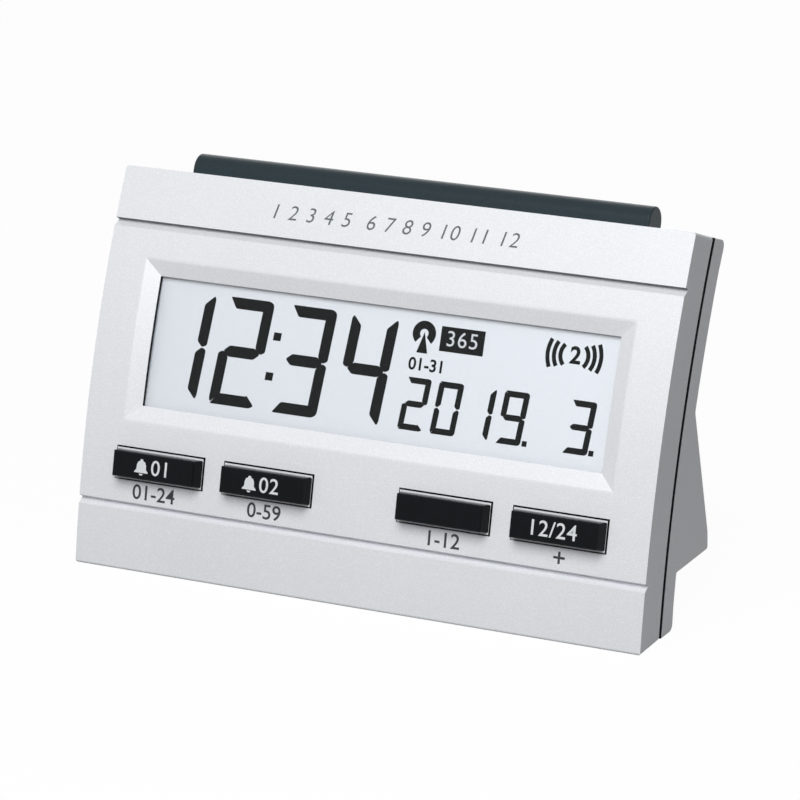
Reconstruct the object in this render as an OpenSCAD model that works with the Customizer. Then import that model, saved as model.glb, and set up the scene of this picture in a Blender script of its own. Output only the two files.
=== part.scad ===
// Desk alarm clock with a radio time receiver: a leaning two-shell case with a curved face,
// a wide display window, four keys, a snooze bar along the top, a battery wedge at the back
// and a fold-down stand under the wedge.
// Millimetres, +Z up, +Y away from the viewer, origin under the middle of the clock on the table.

/* [Case] */
// Overall width
case_w = 125; // [121:1:150]
// Radius of the curved front face
face_r = 238.8; // [200:0.1:300]
// Lean of the display plane from vertical, in degrees
lean = 18.9; // [15:0.1:22]
// Face length from the display centre down to the table
low_arc = 47.4; // [46:0.1:52]
// Face length from the display centre up to the top edge
high_arc = 35.1; // [34.5:0.1:42]
// Thickness of the case behind the face
case_t = 16.2; // [15.8:0.1:18]
// Depth of the front shell, from the face to the seam
front_d = 9.4; // [9:0.1:9.8]
// Wall at the sides, top, bottom and back
wall = 2; // [1.6:0.1:2.2]
// Wall behind the front face
face_wall = 2.2; // [1.9:0.1:2.4]
// Rounding of the long outer edges
edge_r = 1.5; // [0.8:0.1:2]
// Rounding of the lower front edge
front_r = 0.6; // [0.4:0.1:2]
// Height of the visible seam between the shells
seam_gap = 1.05; // [0.3:0.05:1.2]
// Depth of the visible seam
seam_deep = 1; // [0.4:0.1:1.2]

/* [Face grooves] */
// Width of the V grooves across the face
groove_w = 1.7; // [0.8:0.1:2]
// Depth of the V grooves
groove_d = 1.4; // [0.5:0.1:1.5]
// Face length from the display centre up to the upper groove
groove_hi = 24; // [21:0.1:26]
// Face length from the display centre down to the lower groove
groove_lo = 33.25; // [31:0.05:38]

/* [Display] */
// Face left beside the window opening, to the side of the case
win_side = 11.9; // [11.6:0.1:20]
// Height of the window opening
win_h = 26.6; // [22:0.1:27]
// Width of the bevel round the window
bevel_w = 3.45; // [1.5:0.05:3.6]
// Depth of the bevel at the window's edge
bevel_d = 1.05; // [0.8:0.05:1.3]
// How far the lens reaches behind the case round the opening
lens_lap = 1.8; // [1:0.1:1.8]
// Thickness of the clear lens
lens_t = 0.6; // [0.5:0.1:1]
// Thickness of the display glass
glass_t = 2.2; // [1.8:0.1:2.6]
// Wall of the frame that holds the lens and the glass
holder_wall = 0.9; // [0.7:0.1:1]
// Thickness of the two contact strips between glass and board
strip_t = 1.8; // [1.2:0.1:2.4]

/* [Keys] */
// Width of a key
key_w = 19.7; // [16:0.1:20]
// Height of a key along the face
key_h = 6.25; // [5:0.05:6.5]
// How far a key stands out of the face
key_rise = 3.2; // [1:0.1:4]
// Width of the rim round the foot of a key
key_rim = 0.35; // [0.2:0.05:0.6]
// Height of that rim over the face
key_rim_h = 0.2; // [0.1:0.05:0.5]
// Draft on each side of a key, from rim to top
key_draft = 0.35; // [0.2:0.05:0.9]
// Gap round a key in its hole
key_gap = 0.25; // [0.15:0.05:0.4]
// How far a key's inner flange reaches past the key
key_lap = 0.85; // [0.6:0.05:0.9]
// Thickness of that flange
key_flange = 0.9; // [0.7:0.1:1]
// Travel of a key
key_travel = 0.8; // [0.4:0.1:0.9]
// Face length from the display centre down to the keys
key_drop = 25.3; // [24.6:0.1:26.5]
// Distance from the side of the case to the middle of the outer key
key_side = 18.4; // [17.5:0.1:20]
// Distance between the middles of the two keys of a pair
key_pitch = 24.6; // [23.6:0.1:26]
// Sideways shift of the whole key row
key_shift = -0.4; // [-1:0.1:1]

/* [Snooze bar] */
// Distance from the side of the case to the bar's end
bar_side = 12.15; // [11.5:0.05:18]
// Thickness of the bar, front to back
bar_t = 6.7; // [5.5:0.1:7]
// Height of the bar over the top of the case
bar_rise = 4.65; // [3.8:0.05:6]
// Depth of the bar's middle behind the top front edge
bar_d = 9.25; // [9:0.05:9.5]
// Gap round the bar in its slot
bar_gap = 0.3; // [0.2:0.05:0.4]
// How far the bar's inner flange reaches under the case
bar_lap = 0.9; // [0.6:0.1:1.2]
// Thickness of that flange
bar_flange = 1.2; // [0.8:0.1:1.5]
// Travel of the bar
bar_travel = 1.2; // [0.6:0.1:1.4]

/* [Circuit board] */
// Gap between the board and the side walls
pcb_gap = 1.5; // [1:0.1:2]
// Thickness of the board
pcb_t = 1.6; // [1:0.1:1.6]
// Depth of the board's front behind the face at the display centre
pcb_d = 8; // [7.8:0.1:8.2]
// Height of the board over the display centre
pcb_up = 18.6; // [18:0.1:18.8]
// Height of the board under the display centre
pcb_down = 32; // [29:0.1:32.2]
// Distance from the bar's end to the middle of the board's ear under it
ear_in = 14.35; // [12:0.05:16]
// Width of an ear
ear_w = 10; // [8:0.5:11]
// Height of an ear over the display centre
ear_up = 26.8; // [26:0.1:27]
// Side of a key switch
switch_w = 6; // [5:0.1:6.2]
// Height of a key switch
switch_h = 2.2; // [1.8:0.1:2.3]
// Radius of a switch plunger
plunger_r = 1.6; // [1.2:0.1:1.7]
// Gap round a plunger in its switch
plunger_gap = 0.4; // [0.3:0.05:0.5]

/* [Receiver and sound] */
// Diameter of the ferrite rod
rod_d = 6.5; // [5:0.1:7]
// Gap between the rod's ends and the board's ears
rod_gap = 2; // [1:0.1:4]
// Diameter of the winding on the rod
coil_d = 8.5; // [7.6:0.1:8.8]
// Length of the winding
coil_l = 32; // [20:1:38]
// Height of the rod over the display centre
rod_up = 23.7; // [23.4:0.1:24.5]
// Depth of the rod behind the face at the display centre
rod_in = 9.5; // [9:0.1:10]
// Diameter of the sounder
buzzer_d = 18; // [14:0.5:18]
// Thickness of the sounder
buzzer_t = 2.6; // [2:0.1:2.8]
// Distance from the side of the case to the sounder's middle
buzzer_side = 24.5; // [20:0.5:32]
// Height of the sounder over the display centre
buzzer_up = 9; // [8.6:0.1:9.2]

/* [Battery wedge] */
// Height of the wedge's underside over the table
wedge_z = 11.2; // [10.6:0.1:12]
// How far the wedge stands out behind the case at its underside
wedge_deep = 16.3; // [16:0.1:19]
// Height of the upright edge at the wedge's foot
wedge_lip = 3.6; // [3:0.1:4]
// Height over the table where the wedge leaves the back
wedge_top = 42.5; // [41:0.1:46]
// Rounding of the wedge's foot
wedge_r = 0.6; // [0.5:0.1:1.2]
// Diameter of a battery cell
cell_d = 14.5; // [14:0.1:14.6]
// Length of a battery cell, with its button
cell_l = 50.5; // [49:0.1:50.6]
// Gap round a cell in its bay
cell_gap = 0.2; // [0.1:0.05:0.3]
// Wall of the battery bay
bay_wall = 1.2; // [1:0.1:1.4]
// Length of the contact spring
spring_l = 5.5; // [4:0.1:6]
// Thickness of the contact metal
contact_t = 0.5; // [0.3:0.05:0.6]
// Height of a contact's plate
contact_h = 11.5; // [10:0.1:12]
// Width of a contact's plate
contact_w = 8.5; // [6:0.1:10]
// Width of the tab that joins a contact to the board
tab_l = 4; // [2:0.1:5]
// Height of that tab over the cells' middle
tab_up = 3; // [2:0.1:4]
// Width of the contact spring's leaf
leaf_w = 4; // [3:0.1:5]
// Thickness of the battery door
door_t = 1.8; // [1.4:0.1:2]
// How far the door overlaps the bay all round
door_lap = 1.4; // [1:0.1:1.6]
// Gap round the door
door_gap = 0.2; // [0.1:0.05:0.3]

/* [Stand] */
// Width of the fold-down stand
foot_w = 56; // [40:1:64]
// Thickness of the stand's leg
foot_t = 2; // [1.6:0.1:2]
// Backward lean of the opened leg, in degrees
foot_lean = 12; // [11:0.5:13]
// Radius of the stand's hinge barrel
barrel_r = 1.6; // [1.5:0.05:1.6]
// Radius of the stand's hinge pins
pin_r = 1.2; // [0.9:0.05:1.25]
// Length of each hinge pin
pin_l = 2.4; // [1.5:0.1:3]
// Radial play of the hinge pins
pin_gap = 0.06; // [0.04:0.01:0.1]
// Height of the recess that takes the folded leg
recess_h = 2.8; // [2.7:0.1:3]
// Gap round the leg in its recess
recess_gap = 0.4; // [0.3:0.05:0.5]

/* [Screws] */
// Radius of a case screw
screw_r = 1.2; // [1:0.05:1.3]
// Radius of a case screw's head
head_r = 2.2; // [1.8:0.1:2.4]
// Height of a case screw's head
head_h = 1.6; // [1.2:0.1:1.8]
// Depth from the back to the seat of a case screw's head
head_in = 3.4; // [2.6:0.1:3.6]
// Distance from the side of the case to a case screw
screw_side = 8.5; // [8:0.1:9]
// Height of the upper case screws over the display centre
screw_up = 26; // [25.6:0.1:26.4]
// Depth of the lower case screws under the display centre
screw_down = 36; // [35.6:0.1:36.4]
// Radius of a board screw
pcb_screw_r = 0.9; // [0.7:0.05:1]
// Length of a board screw
pcb_screw_l = 4.8; // [4:0.1:5.4]
// Distance from the board's side to an upper board screw
post_side = 2.4; // [2:0.1:2.8]
// Height of the upper board screws over the display centre
post_up = 14; // [8:0.5:15]
// Sideways place of the lower board screws, between the inner keys
post_in = 5; // [3:0.1:6]
// Depth of the lower board screws under the display centre
post_down = 27; // [26:0.1:28]

/* [Small parts] */
// Sideways place of the clock chip on the board
chip_x = 8; // [4:0.5:12]
// Height of the clock chip over the display centre
chip_up = 5; // [2:0.5:8]
// Radius of the cap over the clock chip
chip_r = 5; // [4:0.1:6]
// Height of that cap
chip_h = 1.4; // [1:0.1:2]
// Sideways place of the receiver chip
receiver_x = -8; // [-12:0.5:-6]
// Height of the receiver chip over the display centre
receiver_up = 11; // [8:0.5:14]
// Width of the receiver chip
receiver_w = 6.2; // [4:0.1:7]
// Length of the receiver chip
receiver_l = 5.3; // [4:0.1:6]
// Height of the receiver chip
receiver_h = 1.5; // [1:0.1:2]
// Sideways place of the crystal
crystal_x = 22; // [20:0.5:26]
// Height of the crystal over the display centre
crystal_up = 3; // [1:0.5:5]
// Radius of the crystal's can
crystal_r = 1.5; // [1:0.1:1.6]
// Length of the crystal's can
crystal_l = 8; // [6:0.5:9]
// Sideways place of the capacitor
cap_x = 27; // [25:0.5:30]
// Height of the capacitor over the display centre
cap_up = 11; // [9:0.5:13]
// Radius of the capacitor
cap_r = 2.5; // [2:0.1:3]
// Height of the capacitor
cap_h = 3.6; // [3:0.1:3.8]
// Radius of the winding's leads
lead_r = 0.3; // [0.2:0.05:0.5]
// How far the leads lie on the board
lead_l = 2.5; // [1.5:0.1:4]
// Distance of the leads from the winding's ends
lead_in = 2; // [1:0.1:4]
// Radius of the sounder's leads
wire_r = 0.6; // [0.4:0.05:0.8]
// Distance between the sounder's leads
wire_pitch = 5; // [3:0.1:8]

/* [Hidden] */
$fn = 48;

// Fits
touch = 0.05;
rest_gap = 0.15;
thread_fit = 0.02;
cut = 1;
far = 100;
arc_fn = 360;

// The display frame: x to the right, y up the display plane, z out of the face.
// Its origin is on the face at the display centre, and the arc's centre is straight behind it.
function turn(arc) = arc / face_r * 180 / PI;
function sag(v) = face_r - sqrt(face_r * face_r - v * v);
// Out-of-face place of the surface at depth d behind the face, at height v
function deep(d, v) = sqrt(pow(face_r - d, 2) - v * v) - face_r;
top_v = face_r * sin(turn(high_arc));
top_w = deep(0, top_v);
low_v = -face_r * sin(turn(low_arc));
low_w = deep(0, low_v);

// The same in the table frame, first measured from the face's lower edge
edge_y = -(low_v * sin(lean) - low_w * cos(lean));
disp_z = -(low_v * cos(lean) + low_w * sin(lean));
arc_y = edge_y + face_r * cos(lean);
arc_z = disp_z - face_r * sin(lean);
front_c = arc_y - sqrt(pow(face_r - front_r, 2) - pow(front_r - arc_z, 2));
back_v = top_v - edge_r;
back_w = deep(case_t - edge_r, back_v);
back_c = edge_y + back_v * sin(lean) - back_w * cos(lean);
mid_y = (front_c - front_r + back_c + edge_r) / 2;

// The same measured from the origin, under the middle of the clock
disp_y = edge_y - mid_y;
cen = [arc_y - mid_y, arc_z];
function ring_y(d, z) = cen[0] - sqrt(pow(face_r - d, 2) - pow(z - cen[1], 2));
function top_z(y, h) = disp_z + (top_v - h - (y - disp_y) * sin(lean)) / cos(lean);
function unit(p) = p / norm(p);
function table(v, w) = [disp_y + v * sin(lean) - w * cos(lean),
    disp_z + v * cos(lean) + w * sin(lean)];
function show_v(y, z) = (y - disp_y) * sin(lean) + (z - disp_z) * cos(lean);
function show_w(y, z) = (z - disp_z) * sin(lean) - (y - disp_y) * cos(lean);

// Sideways places, all from the sides of the case
win_w = case_w - 2 * win_side;
bar_w = case_w - 2 * bar_side;
pcb_w = case_w - 2 * (wall + pcb_gap);
key_out = case_w / 2 - key_side;
key_in = key_out - key_pitch;
ear_x = bar_w / 2 - ear_in;
rod_l = 2 * (ear_x - ear_w / 2 - rod_gap);
buzzer_x = buzzer_side - case_w / 2;
screw_x = case_w / 2 - screw_side;

// Display stack, as places out of the face
lens_w = -face_wall;
glass_w = lens_w - lens_t - touch;
strip_w = glass_w - glass_t;
pcb_front = -pcb_d;
pcb_back = pcb_front - pcb_t;
lens_x = win_w + 2 * lens_lap;
lens_y = win_h + 2 * lens_lap;
holder_x = lens_x + 2 * (touch + holder_wall);
holder_y = lens_y + 2 * (touch + holder_wall);
post_x = pcb_w / 2 - post_side;
post_r = 2;
post_seats = [[post_x, post_up], [-post_x, post_up], [post_in, -post_down], [-post_in, -post_down]];
pcb_head_r = 1.6;
pcb_head_h = 1.1;

// Keys and their switches
key_xs = [key_shift - key_out, key_shift - key_in, key_shift + key_in, key_shift + key_out];
key_turn = turn(key_drop);
key_v = -face_r * sin(key_turn);
key_top = -face_wall - rest_gap;
key_low = key_top - key_flange;
switch_v = key_v + tan(key_turn) * (pcb_d - switch_h / 2 - sag(key_v));
key_to_pcb = (pcb_d - sag(key_v)) / cos(key_turn);
well_floor = 0.4;
plunger_l = key_to_pcb + key_low - touch - well_floor - key_travel - 3 * touch
    - plunger_r * tan(key_turn);

// Snooze bar and its switches
bar_w0 = top_w - bar_d;
bar_r = bar_t / 2;
bar_top = top_v + bar_rise;
bar_ledge = top_v - wall - rest_gap;
bar_low = bar_ledge - bar_flange;
snooze_w = switch_w;
snooze_h = 5.2;
snooze_deep = -bar_w0 - pcb_d - pcb_t + plunger_r + plunger_gap + 0.5;
snooze_top = ear_up - 0.3;
snooze_well = bar_travel + 2;
snooze_in = 0.8;

// Battery wedge: its back plane runs from wedge_a down to wedge_b
wedge_in = 0.5;
rear_y = ring_y(case_t, wedge_z) + wedge_deep;
wedge_a = [ring_y(case_t - wedge_in, wedge_top), wedge_top];
wedge_b = [rear_y, wedge_z + wedge_lip];
wedge_e = unit(wedge_a - wedge_b);
wedge_n = [wedge_e[1], -wedge_e[0]];
wedge_ang = atan2(wedge_n[1], wedge_n[0]);
bay_r = cell_d / 2 + cell_gap;
bay_out = bay_r + cell_gap + door_t;
cell_z = wedge_z + recess_h + bay_wall + bay_r;
cell_y = wedge_b[0] + (cell_z - wedge_b[1]) * wedge_e[0] / wedge_e[1] - bay_out / wedge_n[0];
bay_l = 2 * cell_l + contact_t + spring_l;
bay_plus = bay_l / 2;
cell_nub = 1.5;
cell_nub_r = 2.75;
door_x = bay_l + 2 * door_lap;
door_z = 2 * (bay_r + door_lap);
cell_v = show_v(cell_y, cell_z);
cell_w = show_w(cell_y, cell_z);
tab_v = cell_v + tab_up;

// Stand: the hinge line sits just inside the wedge's foot
hinge_y = rear_y - wall / 2 - recess_gap / 2 - barrel_r - 0.1;
hinge_z = wedge_z + barrel_r + 0.1;
leg_under = hinge_z - wedge_z - 0.3;
foot_l = (hinge_z + leg_under * sin(foot_lean)) / cos(foot_lean);
recess_front = hinge_y - foot_l - recess_gap;
lug_l = pin_l + 1.6;

// Screws
screw_seats = [[screw_x, screw_up], [-screw_x, screw_up], [screw_x, -screw_down],
    [-screw_x, -screw_down]];
boss_r = 3;
screw_bite = 5;
function joint_w(v) = deep(front_d, v);
function seat_w(v) = deep(case_t, v) + head_in;

module at_display() {
    translate([0, disp_y, disp_z])
        rotate([90 - lean, 0, 0])
            children();
}

module at_face(arc) {
    at_display()
        translate([0, face_r * sin(turn(arc)), deep(0, face_r * sin(turn(arc)))])
            rotate([-turn(arc), 0, 0])
                children();
}

// The bay's frame: x to the right, y out through the door, z up the door
module at_bay() {
    translate([0, cell_y, cell_z])
        rotate([wedge_ang, 0, 0])
            children();
}

module at_bay_2d() {
    translate([cell_y, cell_z])
        rotate(wedge_ang)
            children();
}

// Draws a side profile (across, up) and runs it along x
module along_x(l) {
    rotate([90, 0, 90])
        linear_extrude(height = l, center = true)
            children();
}

module block(size, low) {
    translate([-size[0] / 2, -size[1] / 2, low])
        cube(size);
}

// The part of the case between depths d1 and d2, over height lo and h below the top
module slab(d1, d2, lo, h) {
    intersection() {
        difference() {
            translate(cen)
                circle(r = face_r - d1, $fn = arc_fn);
            translate(cen)
                circle(r = face_r - d2, $fn = arc_fn);
        }
        polygon([[-far, lo], [far, lo], [far, top_z(far, h)], [-far, top_z(-far, h)]]);
    }
}

// What a round of radius r takes off the corner that faces along a and b
module corner(c, a, b, r) {
    difference() {
        polygon([c, c + a * (r + cut), c + (a + b) * (r + cut), c + b * (r + cut)]);
        translate(c)
            circle(r = r);
    }
}

module front_outline() {
    c = [front_c - mid_y, front_r];
    difference() {
        slab(0, front_d, 0, 0);
        corner(c, [0, -1], unit(c - cen), front_r);
    }
}

module wedge_outline() {
    polygon([wedge_a, wedge_b, [rear_y, wedge_z], [ring_y(case_t - wall, wedge_z), wedge_z],
        [ring_y(case_t - wall, wedge_top), wedge_top]]);
}

module rear_outline() {
    low_c = [cen[0] - sqrt(pow(face_r - case_t + edge_r, 2) - pow(edge_r - cen[1], 2)), edge_r];
    high_c = [back_c - mid_y, disp_z + back_v * cos(lean) + back_w * sin(lean)];
    difference() {
        union() {
            slab(front_d + touch, case_t, 0, 0);
            wedge_outline();
        }
        corner(low_c, [0, -1], unit(cen - low_c), edge_r);
        corner(high_c, [sin(lean), cos(lean)], unit(cen - high_c), edge_r);
        corner([rear_y - wedge_r, wedge_z + wedge_r], [0, -1], [1, 0], wedge_r);
    }
}

module rear_hollow() {
    d = case_t - wall - cut;
    slab(front_d - cut, case_t - wall, wall, wall);
    polygon([wedge_a - wedge_n * wall, wedge_b - wedge_n * wall, [rear_y - wall, wedge_z + wall],
        [ring_y(d, wedge_z + wall), wedge_z + wall], [ring_y(d, wedge_top), wedge_top]]);
}

module bay_round(r, y2, half) {
    circle(r = r);
    translate([0, -half])
        square([y2, 2 * half]);
}

module bay_block() {
    intersection() {
        union() {
            rear_outline();
            slab(front_d - 2 * cut, case_t, wall, wall);
        }
        at_bay_2d()
            bay_round(bay_r + bay_wall, bay_out, bay_r + door_lap + bay_wall);
    }
}

module stand_block() {
    intersection() {
        rear_outline();
        translate([recess_front - bay_wall, wedge_z])
            square([rear_y - recess_front + bay_wall, recess_h + bay_wall]);
    }
}

module snooze_slot() {
    at_display()
        translate([0, 0, bar_w0])
            rotate([-90, 0, 0])
                block([bar_w + 2 * bar_gap, bar_t + 2 * bar_gap, wall + 2 * cut], top_v - wall - cut);
}

// A V groove across the face: deep under its upper lip, with a longer slope below
module groove(arc) {
    at_face(arc)
        along_x(case_w + cut)
            polygon([[groove_w / 10, 0], [groove_w / 10, cut], [-groove_w * 9 / 10, cut],
                [-groove_w * 9 / 10, 0], [0, -groove_d]]);
}

// The bevelled window opening: its slope keeps its width and its depth under the curved face
module window_cut() {
    v0 = win_h / 2;
    rise = -sag(v0 + bevel_w) - deep(bevel_d, v0);
    foot = deep(bevel_d + cut, v0);
    v1 = v0 + bevel_w * (cut - deep(bevel_d, v0)) / rise;
    v2 = v0 + bevel_w * (foot - deep(bevel_d, v0)) / rise;
    reach = bevel_w * (bevel_d + cut) / bevel_d;
    at_display() {
        difference() {
            along_x(win_w + 2 * reach)
                polygon([[-v2, foot], [v2, foot], [v1, cut], [-v1, cut]]);
            translate([0, 0, -face_r])
                rotate([0, 90, 0]) {
                    cylinder(r = face_r - bevel_d, h = win_w, center = true, $fn = arc_fn);
                    for (s = [0, 1])
                        mirror([0, 0, s])
                            translate([0, 0, win_w / 2])
                                cylinder(r1 = face_r - bevel_d, r2 = face_r + cut, h = reach, $fn = arc_fn);
                }
        }
        block([win_w, win_h, face_wall], -face_wall - cut / 2);
        block([lens_x + 2 * touch, lens_y + 2 * touch, 2 * cut], lens_w - 2 * cut);
    }
}

module front_shell() {
    color("#dfe1e6")
    difference() {
        union() {
            difference() {
                along_x(case_w)
                    front_outline();
                along_x(case_w - 2 * wall)
                    slab(face_wall, front_d + cut, wall, wall);
            }
            at_display() {
                for (p = post_seats)
                    translate([p[0], p[1], pcb_front])
                        cylinder(r = post_r, h = deep(face_wall / 2, p[1]) - pcb_front);
                for (p = screw_seats)
                    translate([p[0], p[1], joint_w(p[1])])
                        cylinder(r = boss_r, h = deep(face_wall / 2, p[1]) - joint_w(p[1]));
            }
        }
        groove(groove_hi);
        groove(-groove_lo);
        window_cut();
        snooze_slot();
        for (x = key_xs)
            at_face(-key_drop)
                translate([x, 0, 0])
                    cube([key_w + 2 * key_gap, key_h + 2 * key_gap, 4 * face_wall], center = true);
        at_display() {
            for (p = post_seats)
                translate([p[0], p[1], pcb_front - cut])
                    cylinder(r = pcb_screw_r + thread_fit, h = pcb_screw_l - pcb_t + cut + rest_gap);
            for (p = screw_seats)
                translate([p[0], p[1], joint_w(p[1]) - cut])
                    cylinder(r = screw_r + thread_fit, h = screw_bite + cut + rest_gap);
        }
    }
}

module rear_shell() {
    color("#c9ccd2")
    difference() {
        union() {
            difference() {
                along_x(case_w)
                    rear_outline();
                along_x(case_w - 2 * wall)
                    rear_hollow();
            }
            along_x(bay_l + 2 * bay_wall)
                bay_block();
            along_x(foot_w + 2 * (recess_gap + lug_l))
                stand_block();
            at_display() {
                for (p = screw_seats)
                    translate([p[0], p[1], deep(case_t - wall / 2, p[1])])
                        cylinder(r = boss_r + 0.5, h = joint_w(p[1]) - touch
                            - deep(case_t - wall / 2, p[1]));
                buzzer_ring();
                for (s = [-1, 1])
                    translate([s * (coil_l / 2 + rod_l / 2) / 2, rod_up, 0])
                        cradle();
            }
        }
        along_x(bay_l)
            at_bay_2d()
                bay_round(bay_r, bay_out + 2 * cut, bay_r);
        at_bay()
            translate([0, bay_out - door_t - touch, 0])
                rotate([-90, 0, 0])
                    block([door_x + 2 * door_gap, door_z + 2 * door_gap, door_t + cut], 0);
        for (s = [-1, 1])
            contact_slot(s);
        along_x(foot_w + 2 * recess_gap)
            stand_recess();
        translate([0, hinge_y, hinge_z])
            rotate([0, 90, 0])
                cylinder(r = pin_r + pin_gap, h = foot_w + 2 * (pin_l + recess_gap), center = true);
        at_display() {
            for (p = screw_seats)
                translate([p[0], p[1], deep(case_t, p[1]) - 2 * cut]) {
                    cylinder(r = screw_r + 2 * rest_gap, h = case_t);
                    cylinder(r = head_r + 2 * rest_gap, h = head_in + 2 * cut);
                }
            for (i = [-2:2])
                translate([buzzer_x, buzzer_up + i * buzzer_d / 7, 0])
                    block([buzzer_d * 0.66, 1.3, 2 * wall], deep(case_t, buzzer_up) - wall / 2);
        }
        snooze_slot();
        difference() {
            along_x(case_w + cut)
                slab(front_d - cut, front_d + seam_gap, -cut, -cut);
            along_x(case_w - 2 * seam_deep)
                slab(front_d - 2 * cut, front_d + seam_gap + cut, seam_deep, seam_deep);
        }
    }
}

// The leg's recess under the wedge, with a deeper pocket for the hinge barrel
module stand_recess() {
    translate([recess_front, wedge_z - cut])
        square([hinge_y + barrel_r + recess_gap / 2 - recess_front, recess_h + cut]);
    translate([hinge_y - barrel_r - recess_gap, wedge_z - cut])
        square([2 * barrel_r + recess_gap * 1.5, hinge_z + barrel_r + recess_gap / 2 - wedge_z + cut]);
}

module buzzer_ring() {
    low = deep(case_t - wall / 2, buzzer_up);
    translate([buzzer_x, buzzer_up, low])
        difference() {
            cylinder(r = buzzer_d / 2 + touch + bay_wall, h = buzzer_w() + buzzer_t - cut / 2 - low);
            translate([0, 0, -cut])
                cylinder(r = buzzer_d / 2 + touch, h = case_t);
        }
}

// The sounder's back rests on the inside of the curved back wall
function buzzer_w() = deep(case_t - wall, max(0, buzzer_up - buzzer_d / 2)) + touch;

module cradle() {
    low = deep(case_t - wall / 2, rod_up);
    h = rod_d + 2 * bay_wall;
    difference() {
        block([2, h, -rod_in - low], low);
        translate([0, 0, -rod_in])
            rotate([0, 90, 0])
                cylinder(r = rod_d / 2 + 2 * touch, h = 2 + cut, center = true);
    }
}

// Slot in the bay's front wall for a contact's tab
module contact_slot(s) {
    at_display()
        translate([s * (bay_l - contact_t) / 2, tab_v, 0])
            block([contact_t + 4 * touch, tab_l + 4 * touch, bay_r + 2 * bay_wall], cell_w);
}

module snooze_bar() {
    color("#414b55")
    at_display() {
        difference() {
            union() {
                translate([0, bar_top - bar_r, bar_w0])
                    rotate([0, 90, 0])
                        cylinder(r = bar_r, h = bar_w, center = true);
                translate([0, 0, bar_w0])
                    rotate([-90, 0, 0])
                        block([bar_w, bar_t, bar_top - bar_r - bar_low], bar_low);
            }
            translate([0, 0, bar_w0])
                rotate([-90, 0, 0])
                    block([bar_w - 4 * wall / 2, bar_t - 2 * bar_flange, bar_top - bar_r - bar_ledge],
                        bar_ledge);
        }
        translate([0, 0, bar_w0 + bar_lap / 2])
            rotate([-90, 0, 0])
                block([bar_w + 2 * bar_lap, bar_t + bar_lap, bar_flange], bar_low);
    }
}

module snooze_plungers() {
    color("#2b2d31")
    at_display()
        for (s = [-1, 1])
            translate([s * ear_x, snooze_top - snooze_in, bar_w0])
                rotate([-90, 0, 0])
                    cylinder(r = plunger_r, h = bar_low - touch - snooze_top + snooze_in);
}

module snooze_switches() {
    color("#3a3b3d")
    at_display()
        for (s = [-1, 1])
            difference() {
                translate([s * ear_x - snooze_w / 2, snooze_top - snooze_h, pcb_back - snooze_deep])
                    cube([snooze_w, snooze_h, snooze_deep]);
                translate([s * ear_x, snooze_top - snooze_well, bar_w0])
                    rotate([-90, 0, 0])
                        cylinder(r = plunger_r + plunger_gap, h = snooze_well + cut);
            }
}

// A key: a flange inside the shell, a rim in the hole and a drafted block outside it
module key(i) {
    w = key_w - 2 * key_rim;
    h = key_h - 2 * key_rim;
    at_face(-key_drop)
        translate([key_xs[i], 0, 0]) {
            block([key_w + 2 * key_lap, key_h + 2 * key_lap, key_flange], key_low);
            block([key_w, key_h, key_rim_h - key_top], key_top);
            intersection() {
                along_x(key_w)
                    polygon([[-h / 2, 0], [h / 2, 0], [h / 2, key_rim_h],
                        [h / 2 - key_draft, key_rise], [key_draft - h / 2, key_rise],
                        [-h / 2, key_rim_h]]);
                rotate([90, 0, 0])
                    linear_extrude(height = key_h, center = true)
                        polygon([[-w / 2, 0], [w / 2, 0], [w / 2, key_rim_h],
                            [w / 2 - key_draft, key_rise], [key_draft - w / 2, key_rise],
                            [-w / 2, key_rim_h]]);
            }
        }
}

module key_1() {
    color("#1b1f24")
    key(0);
}

module key_2() {
    color("#1b1f24")
    key(1);
}

module key_3() {
    color("#1b1f24")
    key(2);
}

module key_4() {
    color("#1b1f24")
    key(3);
}

module plunger(i) {
    at_face(-key_drop)
        translate([key_xs[i], 0, key_low - touch - plunger_l])
            cylinder(r = plunger_r, h = plunger_l);
}

module plunger_1() {
    color("#8a2a22")
    plunger(0);
}

module plunger_2() {
    color("#8a2a22")
    plunger(1);
}

module plunger_3() {
    color("#8a2a22")
    plunger(2);
}

module plunger_4() {
    color("#8a2a22")
    plunger(3);
}

module key_switches() {
    color("#3a3b3d")
    for (x = key_xs)
        difference() {
            at_display()
                translate([x, switch_v, 0])
                    block([switch_w, switch_w, switch_h], pcb_front);
            at_face(-key_drop)
                translate([x, 0, -key_to_pcb + well_floor])
                    cylinder(r = plunger_r + plunger_gap, h = 2 * switch_h);
        }
}

module lens() {
    color("#eef2f4", 0.4)
    at_display()
        block([lens_x, lens_y, lens_t], lens_w - lens_t);
}

module lcd_glass() {
    color("#dfe6e8")
    at_display()
        block([lens_x - 2 * touch, lens_y - 2 * touch, glass_t], strip_w);
}

module lcd_holder() {
    color("#e6e6e2")
    at_display()
        difference() {
            block([holder_x, holder_y, lens_w - lens_t - pcb_front], pcb_front);
            block([lens_x + 2 * touch, lens_y + 2 * touch, pcb_d + cut], pcb_front - cut);
        }
}

module contact_strips() {
    color("#d98d9a")
    at_display()
        for (s = [-1, 1])
            translate([0, s * (lens_y / 2 - strip_t / 2 - 2 * touch), 0])
                block([win_w - 4, strip_t, strip_w - pcb_front], pcb_front);
}

module main_board() {
    color("#2f6b3c")
    at_display()
        difference() {
            union() {
                translate([-pcb_w / 2, -pcb_down, pcb_back])
                    cube([pcb_w, pcb_down + pcb_up, pcb_t]);
                for (s = [-1, 1])
                    translate([s * ear_x - ear_w / 2, pcb_up - cut, pcb_back])
                        cube([ear_w, ear_up - pcb_up + cut, pcb_t]);
            }
            for (p = post_seats)
                translate([p[0], p[1], pcb_back - cut])
                    cylinder(r = pcb_screw_r + rest_gap, h = pcb_t + 2 * cut);
        }
}

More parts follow.
